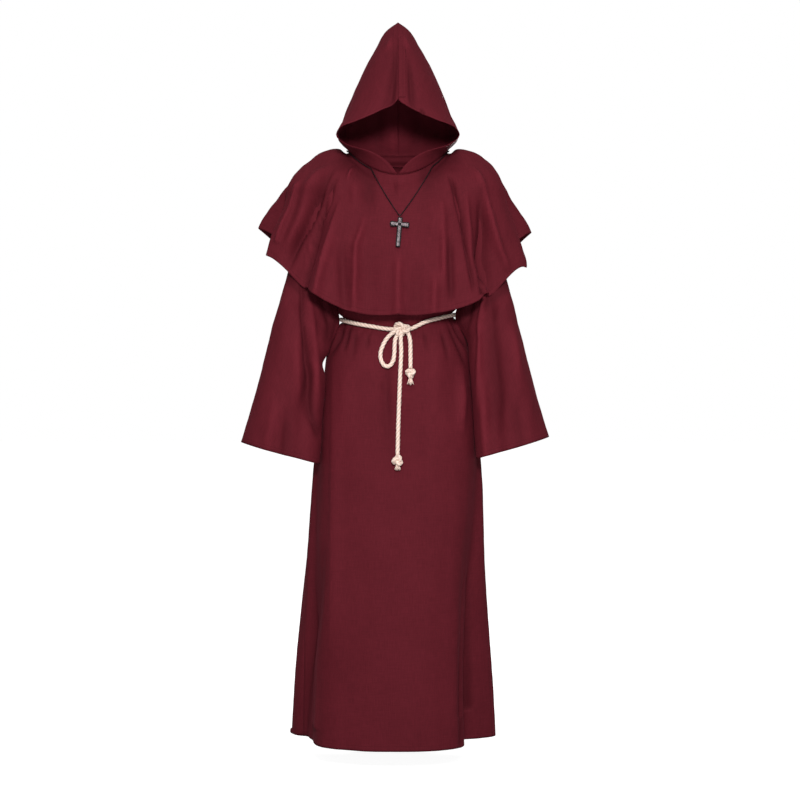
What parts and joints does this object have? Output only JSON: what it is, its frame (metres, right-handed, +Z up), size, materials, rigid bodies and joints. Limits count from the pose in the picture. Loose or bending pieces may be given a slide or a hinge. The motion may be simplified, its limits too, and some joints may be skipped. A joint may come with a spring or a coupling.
{
  "type": "friar costume",
  "caption": "Long hollow robe with wide sleeves, a short cape with a pointed hood, a rope belt tied at the front and a cross on a cord.",
  "frame": {"origin": "midway between the wearer's shoulders, at the height of the neck seam, where the costume hangs from its wearer", "axes": "+Z up, the front faces -Y, +X is the wearer's left"},
  "size_m": [0.7728, 0.3466, 1.834],
  "materials": {
    "cloth": "dark red plain-woven polyester, matt with a faint sheen",
    "rope": "undyed cream twisted cotton rope",
    "cord": "black round cord",
    "metal": "gunmetal, satin"
  },
  "bodies": {
    "root": {"robe_front": "cloth", "robe_back": "cloth", "sleeve_left": "cloth", "sleeve_right": "cloth", "cape_front": "cloth", "cape_back": "cloth", "hood_left": "cloth", "hood_right": "cloth", "hood_crown_band": "cloth", "rope_waist": "rope", "rope_knot": "rope", "rope_bow": "rope", "rope_long_end": "rope", "rope_long_knot": "rope", "rope_short_end": "rope", "rope_short_knot": "rope", "necklace_cord": "cord", "cross_bail": "metal", "cross": "metal"}
  },
  "joints": []
}
